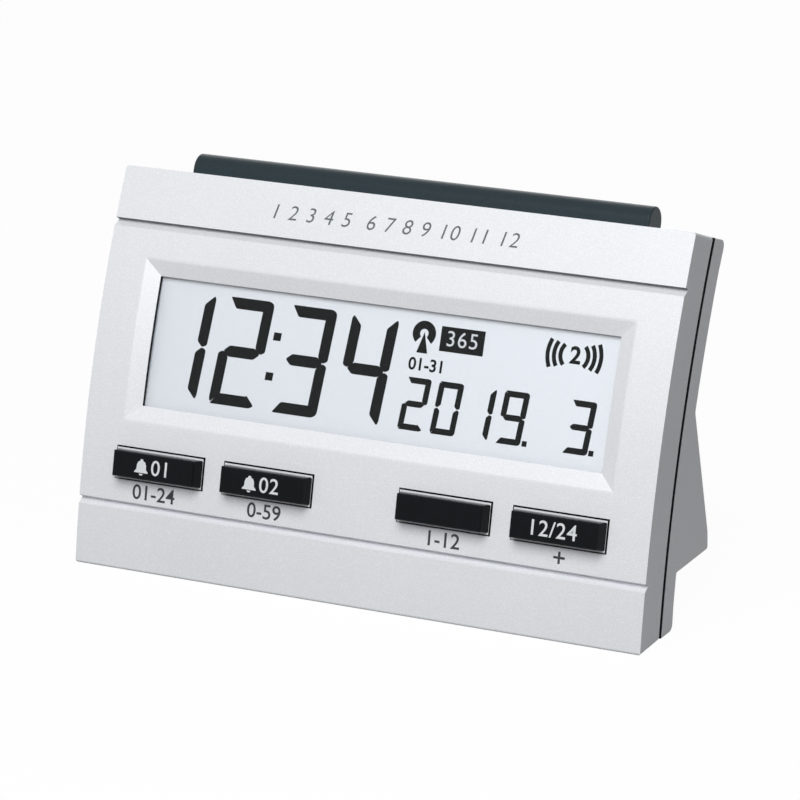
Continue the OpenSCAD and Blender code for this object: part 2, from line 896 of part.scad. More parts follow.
module on_board(x, v) {
    at_display()
        translate([x, v, pcb_back])
            rotate([180, 0, 0])
                children();
}

module clock_chip() {
    color("#16171a")
    on_board(chip_x, chip_up)
        cylinder(r1 = chip_r, r2 = chip_r - chip_h, h = chip_h);
}

module receiver_chip() {
    color("#202226")
    on_board(receiver_x, receiver_up)
        block([receiver_w, receiver_l, receiver_h], 0);
}

module crystal() {
    color("#b9bdc2")
    on_board(crystal_x, crystal_up)
        translate([0, 0, crystal_r])
            rotate([0, 90, 0])
                cylinder(r = crystal_r, h = crystal_l, center = true);
}

module capacitor() {
    color("#27406b")
    on_board(cap_x, cap_up)
        cylinder(r = cap_r, h = cap_h);
}

module ferrite_rod() {
    color("#35363a")
    at_display()
        translate([0, rod_up, -rod_in])
            rotate([0, 90, 0])
                cylinder(r = rod_d / 2, h = rod_l, center = true);
}

module antenna_coil() {
    color("#a8622f")
    at_display()
        translate([0, rod_up, -rod_in])
            rotate([0, 90, 0])
                difference() {
                    cylinder(r = coil_d / 2, h = coil_l, center = true);
                    cylinder(r = rod_d / 2 + touch, h = coil_l + cut, center = true);
                }
}

// Two leads from the winding down to the back of the board
module antenna_leads() {
    w = pcb_back - touch - lead_r;
    drop = sqrt(pow(coil_d / 2, 2) - pow(rod_in + w, 2));
    color("#a8622f")
    at_display()
        for (s = [-1, 1])
            translate([s * (coil_l / 2 - lead_in), pcb_up - lead_l, w])
                rotate([-90, 0, 0])
                    cylinder(r = lead_r, h = rod_up - drop - touch - pcb_up + lead_l);
}

module buzzer() {
    color("#2a2b2e")
    at_display()
        translate([buzzer_x, buzzer_up, buzzer_w()])
            difference() {
                cylinder(r = buzzer_d / 2, h = buzzer_t);
                translate([0, 0, -cut])
                    cylinder(r = 1.2, h = 2 * cut);
            }
}

module buzzer_leads() {
    color("#a33229")
    at_display()
        for (s = [-1, 1])
            translate([buzzer_x + s * wire_pitch / 2, buzzer_up, buzzer_w() + buzzer_t + touch])
                cylinder(r = wire_r, h = pcb_back - buzzer_w() - buzzer_t - 2 * touch);
}

// A cell with its button towards +x, ending at x
module cell(x) {
    translate([x, cell_y, cell_z])
        rotate([0, -90, 0]) {
            cylinder(r = cell_nub_r, h = cell_nub);
            translate([0, 0, cell_nub])
                cylinder(r = cell_d / 2, h = cell_l - cell_nub);
        }
}

module cell_1() {
    color("#b08d3c")
    cell(bay_plus - contact_t);
}

module cell_2() {
    color("#b08d3c")
    cell(bay_plus - contact_t - cell_l);
}

// A contact's plate against the bay's end wall, with a tab forward to the board
module contact_plate(s) {
    at_display()
        translate([s * (bay_l - contact_t) / 2, 0, 0]) {
            translate([0, cell_v, 0])
                block([contact_t, contact_h, contact_w], cell_w - contact_w / 2);
            translate([0, tab_v, 0])
                block([contact_t, tab_l, pcb_back - touch - cell_w], cell_w);
        }
}

module contact_plus() {
    color("#c2c4c6")
    contact_plate(1);
}

// A bent leaf that presses on the second cell's flat end
module contact_minus() {
    s = spring_l - contact_t;
    h = contact_w / 2;
    t = contact_t;
    color("#c2c4c6")
    union() {
        contact_plate(-1);
        at_display()
            translate([contact_t - bay_l / 2, cell_v, cell_w])
                rotate([90, 0, 0])
                    linear_extrude(height = leaf_w, center = true)
                        polygon([[-t / 2, -h], [-t / 2, -h + 2 * t], [s - t, 2 * t], [s, 2 * t],
                            [s, -2 * t], [s - t, -2 * t], [t, -h]]);
    }
}

// The door, with a row of grip grooves near its upper edge
module battery_door() {
    color("#c9ccd2")
    at_bay()
        translate([0, bay_out - door_t, 0])
            rotate([-90, 0, 0])
                difference() {
                    block([door_x, door_z, door_t], 0);
                    for (i = [0:4])
                        translate([0, -door_z / 2 + 3 + i * 1.6, 0])
                            block([14, 0.8, cut], door_t - 0.4);
                }
}

// The leg is drawn opened: it leans back from its barrel and stands flat on the table
module stand() {
    color("#c9ccd2")
    union() {
        difference() {
            translate([0, hinge_y, hinge_z])
                rotate([foot_lean, 0, 0])
                    translate([-foot_w / 2, leg_under - foot_t, -2 * foot_l])
                        cube([foot_w, foot_t, 2 * foot_l]);
            translate([-far, -far, -2 * far])
                cube([2 * far, 2 * far, 2 * far]);
        }
        translate([0, hinge_y, hinge_z])
            rotate([0, 90, 0]) {
                cylinder(r = barrel_r, h = foot_w, center = true);
                cylinder(r = pin_r, h = foot_w + 2 * (pin_l + recess_gap / 2), center = true);
            }
    }
}

module screw(r, l, hr, hh) {
    cylinder(r = r, h = l);
    difference() {
        translate([0, 0, -hh])
            cylinder(r = hr, h = hh);
        for (a = [0, 90])
            rotate(a)
                translate([-hr * 0.6, -hr * 0.13, -hh - cut])
                    cube([hr * 1.2, hr * 0.26, cut + hh / 2]);
    }
}

module case_screws() {
    color("#a9acb0")
    at_display()
        for (p = screw_seats)
            translate([p[0], p[1], seat_w(p[1])])
                screw(screw_r, joint_w(p[1]) + screw_bite - seat_w(p[1]), head_r, head_h);
}

module board_screws() {
    color("#a9acb0")
    at_display()
        for (p = post_seats)
            translate([p[0], p[1], pcb_back])
                screw(pcb_screw_r, pcb_screw_l, pcb_head_r, pcb_head_h);
}

front_shell();
rear_shell();
snooze_bar();
snooze_plungers();
snooze_switches();
key_1();
key_2();
key_3();
key_4();
plunger_1();
plunger_2();
plunger_3();
plunger_4();
key_switches();
lens();
lcd_glass();
lcd_holder();
contact_strips();
main_board();
clock_chip();
receiver_chip();
crystal();
capacitor();
ferrite_rod();
antenna_coil();
antenna_leads();
buzzer();
buzzer_leads();
cell_1();
cell_2();
contact_plus();
contact_minus();
battery_door();
stand();
case_screws();
board_screws();
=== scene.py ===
"""Desk alarm clock with a radio time receiver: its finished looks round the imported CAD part."""

import math
from contextlib import contextmanager

import bmesh
import bpy
from bpy.props import FloatProperty, FloatVectorProperty, PointerProperty
from mathutils import Matrix, Vector


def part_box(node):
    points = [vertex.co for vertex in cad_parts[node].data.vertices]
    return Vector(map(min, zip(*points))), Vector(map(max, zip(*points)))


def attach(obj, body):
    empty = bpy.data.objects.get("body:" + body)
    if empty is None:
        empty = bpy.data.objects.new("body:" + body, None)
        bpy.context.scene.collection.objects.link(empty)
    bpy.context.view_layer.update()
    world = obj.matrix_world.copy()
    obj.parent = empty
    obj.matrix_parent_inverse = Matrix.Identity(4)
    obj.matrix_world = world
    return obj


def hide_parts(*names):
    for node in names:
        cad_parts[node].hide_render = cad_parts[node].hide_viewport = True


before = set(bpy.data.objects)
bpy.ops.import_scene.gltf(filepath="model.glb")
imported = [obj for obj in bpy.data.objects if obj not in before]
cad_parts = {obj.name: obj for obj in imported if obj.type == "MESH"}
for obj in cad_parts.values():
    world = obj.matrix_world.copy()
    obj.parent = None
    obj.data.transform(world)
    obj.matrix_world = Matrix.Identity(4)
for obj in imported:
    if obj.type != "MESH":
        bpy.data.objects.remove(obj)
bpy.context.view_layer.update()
MM = 0.001
# Corners closer than this are merged
WELD = 0.001 * MM
# How far cutters reach past what they cut
OVER = 2 * MM
# Play between the flanges of moving pieces and the wall
PLAY = 0.15 * MM
# Thickness of the display's figures and of printed ink
FIGURE_FILM = 0.01 * MM
INK_FILM = 0.02 * MM
# Height of a digit as a share of the font's size
FIGURE_SHARE = 0.73

bl_info = {
    "name": "Desk Alarm Clock",
    "version": (1, 0, 0),
    "blender": (4, 5, 0),
    "location": "View3D > Sidebar > Clock",
    "description": "Models the looks of a leaning desk alarm clock round its CAD part",
    "category": "Add Mesh",
}


def linear(code):
    """Turns an sRGB hex colour into linear red, green, blue and alpha."""
    shares = [int(code[i:i + 2], 16) / 255 for i in (1, 3, 5)]
    return tuple(c / 12.92 if c < 0.04045 else ((c + 0.055) / 1.055) ** 2.4 for c in shares) + (1.0,)


def length(text, mm):
    """A size in millimetres as a property in metres."""
    return FloatProperty(description=text, default=mm * MM, precision=5, unit="LENGTH")


def tilt(text, degrees):
    """An angle in degrees as a property in radians."""
    return FloatProperty(description=text, default=math.radians(degrees), subtype="ANGLE")


def colour(text, code):
    """A colour property from an sRGB hex value."""
    return FloatVectorProperty(description=text, default=linear(code), size=4, min=0, max=1,
                               subtype="COLOR")


SHELL_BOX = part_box("front_shell")


class CaseSizes(bpy.types.PropertyGroup):
    """Sizes of the two-shell case"""

    width: length("Overall width of the case", (SHELL_BOX[1].x - SHELL_BOX[0].x) / MM)
    face_radius: length("Radius of the curved front face", 238.8)
    lean: tilt("Lean of the display plane from vertical", 18.9)
    low_arc: length("Arc from the display's middle down to the table", 47.4)
    high_arc: length("Arc from the display's middle up to the top edge", 35.1)
    depth: length("Depth of the front shell behind the face", 9.4)
    wall: length("Wall at the sides, top and bottom", 2.0)
    face_wall: length("Wall behind the front face", 2.2)
    foot_round: length("Rounding of the lower front edge", 0.6)
    edge: length("Fine rounding of the moulded edges", 0.22)
    corner: length("Rounding of the front shell's four corners", 0.7)
    # The seam's faces are painted black as its shade
    seam: length("Width of the dark seam behind the front shell", 1.05)
    groove_width: length("Width of the V grooves across the face", 1.7)
    groove_depth: length("Depth of the V grooves", 1.4)
    groove_lean: length("Lean of the lower groove's upper wall", 0.45)
    groove_up: length("Arc from the display's middle up to its groove", 24.0)
    groove_down: length("Arc from the display's middle down to its groove", 33.25)


class DisplaySizes(bpy.types.PropertyGroup):
    """Sizes of the window and of the figures behind it"""

    width: length("Width of the window opening", 101.2)
    height: length("Height of the window opening", 26.6)
    bevel: length("Width of the slope round the window", 3.65)
    slope: tilt("Steepness of the slope at the window's edge", 23)
    roll: length("Rounding of the slope's outer edge", 2.2)
    lens_depth: length("Depth of the lens's middle behind the face", 2.5)
    image_depth: length("Depth of the dark figures behind the face", 2.835)
    slant: tilt("Lean of the figures to the right", 4.3)
    digit_height: length("Height of the large digits", 21.9)
    digit_width: length("Width of the large digits", 10.3)
    stroke: length("Width of a large digit's segments", 2.3)
    small_height: length("Height of the small digits", 10.5)
    small_width: length("Width of the small digits", 5.35)
    small_stroke: length("Width of a small digit's segments", 1.22)


class ControlSizes(bpy.types.PropertyGroup):
    """Sizes of the keys and of the snooze bar"""

    key_width: length("Width of a key", 19.7)
    key_height: length("Height of a key along the face", 6.25)
    key_rise: length("How far a key stands out of the face", 3.2)
    key_rim: length("Width of the rim above and below a key", 0.35)
    key_side: length("Width of the rim left and right of a key", 0.05)
    key_rim_rise: length("Height of that rim over the face", 0.2)
    key_draft: length("Draft left and right of a key", 0.35)
    key_slant: length("Mean draft above and below a key", 0.15)
    key_lift: length("How far the top of a key is set upwards", 0.1)
    key_gap: length("Gap round a key in its hole", 0.33)
    key_drop: length("Arc from the display's middle down to the keys", 25.3)
    key_lap: length("Width of the flange round a key", 0.85)
    key_flange: length("Thickness of that flange", 0.9)
    key_top: length("Rounding of a key's upper edges", 0.38)
    key_corner: length("Rounding of a key's four corners", 0.3)
    key_edge: length("Rounding of a key's other edges", 0.07)
    bar_length: length("Length of the snooze bar", 100.7)
    bar_thick: length("Thickness of the snooze bar", 6.7)
    bar_rise: length("Height of the bar over the top of the case", 4.63)
    bar_depth: length("Depth of the bar's middle behind the top front edge", 9.25)
    bar_gap: length("Gap round the bar in its slot", 0.3)
    bar_lap: length("Width of the flange at both ends of the bar", 0.9)
    bar_flange: length("Thickness of that flange", 1.2)
    bar_edge: length("Rounding of the bar's ends", 0.35)


class ClockColours(bpy.types.PropertyGroup):
    """Colours of the visible finishes"""

    silver: colour("Silver paint of the case", "#E4E6EA")
    slate: colour("Dark slate of the snooze bar", "#2C373C")
    black: colour("Gloss black of the keys", "#0D1114")
    panel: colour("Pale reflector of the display", "#D5DAE0")
    segment: colour("Dark figures of the display", "#070B0B")
    dark_ink: colour("Print under the keys", "#303436")
    grey_ink: colour("Print on the top strip", "#5E6468")
    white_ink: colour("Print on the keys", "#DDE1E3")


def sizes(name):
    """The named group of settings of this scene."""
    return getattr(bpy.context.scene, "clock_" + name)


def configure(item, settings):
    """Sets several values of an item."""
    for key, value in settings.items():
        setattr(item, key, value)


# Finishes


def add_node(tree, kind, inputs, **settings):
    """Adds a shader node, sets its options and fills or links its inputs."""
    made = tree.nodes.new("ShaderNode" + kind)
    configure(made, settings)
    for key, value in inputs.items():
        if isinstance(value, bpy.types.NodeSocket):
            tree.links.new(value, made.inputs[key])
        else:
            made.inputs[key].default_value = value
    return made


def new_finish(name):
    """The empty node tree of a new material, and its object coordinates."""
    made = bpy.data.materials.new(name)
    made.use_nodes = True
    tree = made.node_tree
    tree.nodes.clear()
    return tree, add_node(tree, "TexCoord", {}).outputs["Object"]


def show(tree, inputs, kind="BsdfPrincipled"):
    """Ends a material in a shader."""
    add_node(tree, "OutputMaterial", {"Surface": add_node(tree, kind, inputs).outputs[0]})


def per_mm(mm):
    """Texture scale at which one cell or wave is that many millimetres."""
    return 1 / (mm * MM)


def tinted(tint, share):
    """A colour made lighter or darker by a share."""
    return tuple(min(1.0, c * share) for c in tint[:3]) + (1.0,)


# The next six add a node to the tree of the socket they are given


def noise(where, mm, detail):
    """Noise with cells of that many millimetres."""
    made = add_node(where.id_data, "TexNoise", {"Vector": where, "Scale": per_mm(mm), "Detail": detail})
    return made.outputs["Fac"]


def ranged(share, low, high):
    """A share of 0 to 1 moved into a range."""
    made = add_node(share.id_data, "MapRange", {"Value": share, "To Min": low, "To Max": high})
    return made.outputs["Result"]


def blend(share, low, high, start=0.0, end=1.0):
    """A colour that goes from one to another as a share goes from its start to its end."""
    made = add_node(share.id_data, "ValToRGB", {"Fac": share})
    for stop, spot, tint in zip(made.color_ramp.elements, (start, end), (low, high)):
        stop.position = spot
        stop.color = tint
    return made.outputs["Color"]


def mixed(share, low, high):
    """A colour mixed of two others."""
    return add_node(share.id_data, "Mix", {0: share, 6: low, 7: high}, data_type="RGBA").outputs[2]


def relief(height, strength, mm):
    """A bump that is at most that many millimetres deep."""
    made = add_node(height.id_data, "Bump", {"Height": height, "Strength": strength, "Distance": mm * MM})
    return made.outputs["Normal"]


def reckon(operation, first, second):
    """The outcome of an operation on two values."""
    return add_node(first.id_data, "Math", {0: first, 1: second}, operation=operation).outputs[0]


def in_sight(tree):
    """Is 1 for what is seen, in mirrors and through glass too, and 0 for what only gives light."""
    path = add_node(tree, "LightPath", {}).outputs
    share = reckon("MAXIMUM", path["Is Camera Ray"], path["Is Glossy Ray"])
    return reckon("MAXIMUM", share, path["Is Transmission Ray"])


def silver_paint(name, tint):
    """Aluminium-flake lacquer on moulded ABS."""
    tree, where = new_finish(name)
    # Flakes of about 0.05 mm, drawn at 0.3 mm so that they show
    flake = add_node(tree, "TexVoronoi", {"Vector": where, "Scale": per_mm(0.3)}).outputs["Distance"]
    # Slow clouding from the spray gun, a few centimetres across
    cloud = noise(where, 26, 3.0)
    tone = add_node(tree, "Mix", {0: 0.3, 2: flake, 3: cloud}).outputs[0]
    # Faint orange peel in the lacquer, about 0.8 mm across
    peel = noise(where, 0.8, 2.0)
    show(tree, {
        "Base Color": blend(tone, tinted(tint, 0.94), tinted(tint, 1.05), 0.2, 0.75), "Metallic": 0.09,
        "Roughness": ranged(flake, 0.35, 0.49), "Specular IOR Level": 0.1,
        "Normal": relief(peel, 0.16, 0.02)})


def moulded(name, tint, rough, grain_mm, depth_mm, spread=0.08, shine=0.5):
    """Moulded plastic, rubber or ceramic: a skin with slight colour and gloss variation."""
    tree, where = new_finish(name)
    grain = noise(where, grain_mm, 4.0)
    show(tree, {
        "Base Color": blend(grain, tinted(tint, 1 - spread), tinted(tint, 1 + spread), 0.3, 0.7),
        "Roughness": ranged(grain, max(0.02, rough - 0.05), rough + 0.05),
        "Specular IOR Level": shine, "Normal": relief(grain, 0.3, depth_mm)})


def plated(name, tint, rough, grain_mm):
    """Drawn or plated metal with fine marks along its length."""
    tree, where = new_finish(name)
    along = add_node(tree, "Mapping", {"Vector": where, "Scale": (0.06, 1.0, 1.0)}).outputs[0]
    marks = noise(along, grain_mm, 5.0)
    show(tree, {
        "Base Color": blend(marks, tinted(tint, 0.86), tinted(tint, 1.08)), "Metallic": 1.0,
        "Roughness": ranged(marks, rough - 0.08, rough + 0.1),
        "Normal": relief(marks, 0.2, 0.01)})


def clear_acrylic(name):
    """Polished clear acrylic sheet: almost unseen but for a thin glare."""
    tree, where = new_finish(name)
    show(tree, {
        "Base Color": linear("#F4F8FA"), "Roughness": ranged(noise(where, 1.5, 6.0), 0.02, 0.07),
        "IOR": 1.49, "Alpha": 0.011})


def display_reflector(name, tint):
    """Liquid-crystal panel over a diffusing reflector: pale grey with a fine sparkle."""
    tree, where = new_finish(name)
    # Grain of about 0.1 mm, drawn at 0.35 mm so that it shows
    grain = noise(where, 0.35, 2.0)
    show(tree, {
        "Base Color": blend(grain, tinted(tint, 0.975), tinted(tint, 1.02), 0.3, 0.7),
        "Metallic": 0.35, "Roughness": 0.55, "Specular IOR Level": 0.25})


def screen_ink(name, tint, rough=0.55, shine=0.4):
    """Printed ink with a slightly uneven film."""
    tree, where = new_finish(name)
    show(tree, {
        "Base Color": blend(noise(where, 0.4, 3.0), tinted(tint, 0.9), tinted(tint, 1.08)),
        "Roughness": rough, "Specular IOR Level": shine})


def circuit_board(name):
    """Green solder mask on glass-fibre board: copper tracks show through as paler lines."""
    tree, where = new_finish(name)
    # Tracks about 1.2 mm apart
    tracks = add_node(tree, "TexBrick", {
        "Vector": where, "Scale": per_mm(4.8), "Color1": linear("#2A6A3B"), "Color2": linear("#2F7442"),
        "Mortar": linear("#4C8F58"), "Mortar Size": 0.06, "Brick Width": 1.1, "Row Height": 0.25})
    show(tree, {
        "Base Color": tracks.outputs["Color"], "Roughness": 0.32,
        "Normal": relief(noise(where, 0.6, 3.0), 0.2, 0.02)})


def wire_winding(name):
    """Enamelled copper wire wound side by side on the rod, one turn every 0.5 mm."""
    tree, where = new_finish(name)
    # A wave node of scale 1 repeats every tau / 20
    turns = add_node(tree, "TexWave", {
        "Vector": where, "Scale": per_mm(0.5) * math.tau / 20, "Distortion": 0.4,
        "Detail": 1.0}).outputs["Fac"]
    show(tree, {
        "Base Color": blend(turns, linear("#6A3413"), linear("#C27A3C")), "Metallic": 0.7,
        "Roughness": 0.32, "Normal": relief(turns, 0.6, 0.1)})


def cell_sleeve(name):
    """Printed sleeve of a dry cell: dark, with a copper-coloured band at its button end."""
    tree, where = new_finish(name)
    along = add_node(tree, "SeparateXYZ", {"Vector": where}).outputs["X"]
    # The two cells lie end to end, with their button ends to the right
    low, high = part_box("cell_1")
    dark_part = 38 * MM
    from_end = reckon("FLOORED_MODULO", reckon("SUBTRACT", along, low.x), high.x - low.x)
    band = reckon("GREATER_THAN", from_end, dark_part)
    show(tree, {
        "Base Color": mixed(band, linear("#23262B"), linear("#B47A3A")), "Metallic": 0.35,
        "Roughness": ranged(noise(where, 2.0, 4.0), 0.22, 0.36)})


# Modelling helpers


def pick(*objects):
    """Selects only these objects and makes the first one active."""
    bpy.ops.object.select_all(action="DESELECT")
    for each in objects:
        each.select_set(True)
    bpy.context.view_layer.objects.active = objects[0]


def named(obj, name):
    """Names a piece and its mesh."""
    obj.name = name
    obj.data.name = name
    return obj


def linked(name, data):
    """A new object of the scene."""
    made = bpy.data.objects.new(name, data)
    bpy.context.scene.collection.objects.link(made)
    return made


def begin(name, add, **settings):
    """A new shape from an operator that adds one."""
    bpy.ops.object.select_all(action="DESELECT")
    add(**settings)
    return named(bpy.context.object, name)


@contextmanager
def editing(obj):
    """Opens a piece's mesh in edit mode for as long as the block runs."""
    pick(obj)
    bpy.ops.object.mode_set(mode="EDIT")
    yield
    bpy.ops.object.mode_set(mode="OBJECT")


# Helpers for a mesh in edit mode, down to cut_off


def choose(obj, kind, test):
    """Selects the vertices, edges or faces that pass a test."""
    bpy.ops.mesh.select_mode(type=kind)
    bpy.ops.mesh.select_all(action="DESELECT")
    mesh = bmesh.from_edit_mesh(obj.data)
    items = {"VERT": mesh.verts, "EDGE": mesh.edges, "FACE": mesh.faces}[kind]
    found = [item for item in items if test(item)]
    if not found:
        raise RuntimeError(f"nothing to shape was found on {obj.name}")
    for item in found:
        item.select_set(True)
    mesh.select_flush_mode()
    bmesh.update_edit_mesh(obj.data)


def middle(edge):
    """The midpoint of an edge."""
    return (edge.verts[0].co + edge.verts[1].co) / 2


def lowest(edge):
    """The height of an edge's lower end."""
    return min(v.co.z for v in edge.verts)


def span(edge, axis):
    """How far an edge reaches along an axis."""
    return abs(edge.verts[0].co[axis] - edge.verts[1].co[axis])


def round_off(obj, width, steps, test):
    """Rounds the edges that pass a test."""
    choose(obj, "EDGE", test)
    bpy.ops.mesh.bevel(offset=width, segments=steps)


def stretch(x=1.0, y=1.0, centre=(0, 0, 0)):
    """Stretches what is selected about a point."""
    bpy.ops.transform.resize(value=(x, y, 1), center_override=centre)


def extrude(y=0.0, z=0.0):
    """Extrudes the selected faces and moves them."""
    bpy.ops.mesh.extrude_region_move(TRANSFORM_OT_translate={"value": (0, y, z)})


def weld(distance=WELD):
    """Merges doubled corners."""
    bpy.ops.mesh.select_all(action="SELECT")
    bpy.ops.mesh.remove_doubles(threshold=distance)


def turn_out():
    """Turns all the faces outwards."""
    bpy.ops.mesh.select_all(action="SELECT")
    bpy.ops.mesh.normals_make_consistent()


def cut_off(spot, normal, **side):
    """Cuts one side of a plane off and closes the cut."""
    bpy.ops.mesh.select_all(action="SELECT")
    bpy.ops.mesh.bisect(plane_co=spot, plane_no=normal, use_fill=True, threshold=1e-7, **side)


def place(obj, matrix=Matrix()):
    """Moves a piece by a matrix and puts its place into its mesh."""
    bpy.context.view_layer.update()
    obj.matrix_world = matrix @ obj.matrix_world
    pick(obj)
    bpy.ops.object.transform_apply(location=True, rotation=True, scale=True)


def block(name, size, centre):
    """A box of that size, the start of a piece or a cutter."""
    made = begin(name, bpy.ops.mesh.primitive_cube_add, size=1, location=centre)
    made.scale = size
    place(made)
    return made


def copy_of(obj, name):
    """A copy of a piece with its own mesh."""
    pick(obj)
    bpy.ops.object.duplicate()
    return named(bpy.context.object, name)


def modify(obj, kind, **settings):
    """Adds a modifier, sets it and applies it."""
    pick(obj)
    made = obj.modifiers.new(kind.title(), kind)
    configure(made, settings)
    bpy.ops.object.modifier_apply(modifier=made.name)


def carve(obj, tool, operation="DIFFERENCE"):
    """Cuts a tool's shape out of a piece, or leaves only what lies in it, and removes the tool."""
    modify(obj, "BOOLEAN", object=tool, operation=operation, solver="MANIFOLD")
    bpy.data.objects.remove(tool)


def smooth(obj):
    """Shades the fine roundings smoothly and keeps the flat faces flat."""
    pick(obj)
    bpy.ops.object.shade_smooth_by_angle(angle=math.radians(35))
    modify(obj, "WEIGHTED_NORMAL", keep_sharp=True)


def soften(obj, width, steps=2, angle=30):
    """Rounds the sharp edges finely, as moulded plastic has them."""
    modify(obj, "BEVEL", width=width, segments=steps, limit_method="ANGLE", angle_limit=math.radians(angle),
           miter_outer="MITER_ARC")
    smooth(obj)


def soften_long(obj, width, spared):
    """Rounds the long sharp edges, so that short ones can't narrow the rounding, but no spared ones."""
    reach = 0.8 * MM
    with editing(obj):
        choose(obj, "EDGE", lambda e: e.calc_length() > reach and e.calc_face_angle(0) > math.radians(30)
               and not spared(e))
        bpy.ops.mesh.bevel(offset=width, segments=2, clamp_overlap=False, miter_outer="ARC")
        weld()
    smooth(obj)


def clean(obj, angle=0.5):
    """Merges doubled corners, dissolves flat seams and turns the faces outwards."""
    with editing(obj):
        weld(2 * WELD)
        bpy.ops.mesh.dissolve_limited(angle_limit=math.radians(angle))
        turn_out()


def flat_shape(name, loops, thick, unit=1.0):
    """Closed outlines in some unit, filled to a thin film that is centred on the plane z = 0."""
    drawn = bpy.data.curves.new(name, "CURVE")
    configure(drawn, {"dimensions": "2D", "fill_mode": "BOTH", "extrude": thick / 2})
    for loop in loops:
        line = drawn.splines.new("POLY")
        line.points.add(len(loop) - 1)
        for point, (x, y) in zip(line.points, loop):
            point.co = (x * unit, y * unit, 0, 1)
        line.use_cyclic_u = True
    pick(linked(name, drawn))
    bpy.ops.object.convert(target="MESH")
    return bpy.context.object


def written(name, body, height, thick, shear=0.0, spacing=1.0, weight=0.0):
    """Plain figures as a thin film, centred on the plane z = 0, with that digit height."""
    made = begin(name, bpy.ops.object.text_add)
    configure(made.data, {
        "body": body, "align_x": "CENTER", "align_y": "CENTER", "size": height / FIGURE_SHARE,
        "shear": shear, "space_character": spacing, "offset": weight * height, "extrude": thick / 2})
    bpy.ops.object.convert(target="MESH")
    made = named(bpy.context.object, name)
    with editing(made):
        weld()
        bpy.ops.mesh.dissolve_degenerate(threshold=WELD / 2)
        turn_out()
    return made


def join(name, *objects):
    """Joins like films into one piece."""
    pick(*objects)
    if len(objects) > 1:
        bpy.ops.object.join()
    return named(bpy.context.object, name)


def finish_piece(obj, body, slot, *finishes):
    """Gives a piece its materials and body; its faces keep their material marks."""
    marks = [face.material_index for face in obj.data.polygons]
    obj.data.materials.clear()
    for name in finishes:
        obj.data.materials.append(bpy.data.materials[name])
    obj.data.polygons.foreach_set("material_index", marks)
    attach(obj, body)


def display_matrix():
    """The display frame: x to the right, y up the display plane, z out of the face."""
    low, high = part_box("lens")
    turn = Matrix.Rotation(math.pi / 2 - sizes("case").lean, 4, "X")
    out = Matrix.Translation((0, 0, sizes("display").lens_depth))
    return Matrix.Translation((low + high) / 2) @ turn @ out


def face_matrix(arc, x=0.0, out=0.0):
    """In the display frame, a place on the curved face: arc up from the centre, x to the right."""
    radius = sizes("case").face_radius
    turn = arc / radius
    return (Matrix.Translation((x, radius * math.sin(turn), radius * math.cos(turn) - radius))
            @ Matrix.Rotation(-turn, 4, "X") @ Matrix.Translation((0, 0, out)))


def depth_of(spot):
    """How far a place of the display frame lies behind the curved face."""
    radius = sizes("case").face_radius
    return radius - math.hypot(spot.y, spot.z + radius)


def top_edge():
    """In the display frame, how high the top front edge lies and how far back."""
    radius = sizes("case").face_radius
    top = radius * math.sin(sizes("case").high_arc / radius)
    return top, radius - math.sqrt(radius ** 2 - top ** 2)


def key_places():
    """Sideways middles of the four keys, from the CAD part."""
    return [sum(c.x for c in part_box(f"key_{i}")) / 2 for i in (1, 2, 3, 4)]


def spun(name, width, near, far, start, end, flare=0.0):
    """A slice between two depths, spun about the face's axis; a flare widens its outer side."""
    radius = sizes("case").face_radius
    level = radius - (near + far) / 2
    made = begin(name, bpy.ops.mesh.primitive_plane_add, size=1)
    made.scale = (width, far - near, 1)
    place(made, Matrix.Translation((0, 0, level)) @ Matrix.Rotation(math.pi / 2, 4, "X"))
    with editing(made):
        choose(made, "VERT", lambda v: v.co.z > level)
        stretch(1 + 2 * flare / width)
    place(made, Matrix.Translation((0, 0, -radius)) @ Matrix.Rotation(-start, 4, "X"))
    with editing(made):
        bpy.ops.mesh.select_all(action="SELECT")
        bpy.ops.mesh.spin(steps=110, angle=-start - end, center=(0, 0, -radius), axis=(1, 0, 0))
    return made


def curved_slab(name, width, near, far, low, high):
    """A slice of the case between two depths, cut off below at the table and above at the top."""
    case = sizes("case")
    # The slice is spun past both cuts
    start = (case.high_arc + 8 * MM) / case.face_radius
    end = (case.low_arc + 12 * MM) / case.face_radius
    made = spun(name, width, near, far, start, end)
    back = display_matrix().inverted()
    with editing(made):
        cut_off(back @ Vector((0, 0, low)), back.to_3x3() @ Vector((0, 0, 1)), clear_inner=True)
        cut_off((0, top_edge()[0] - high, 0), (0, 1, 0), clear_outer=True)
        weld()
        turn_out()
    return made


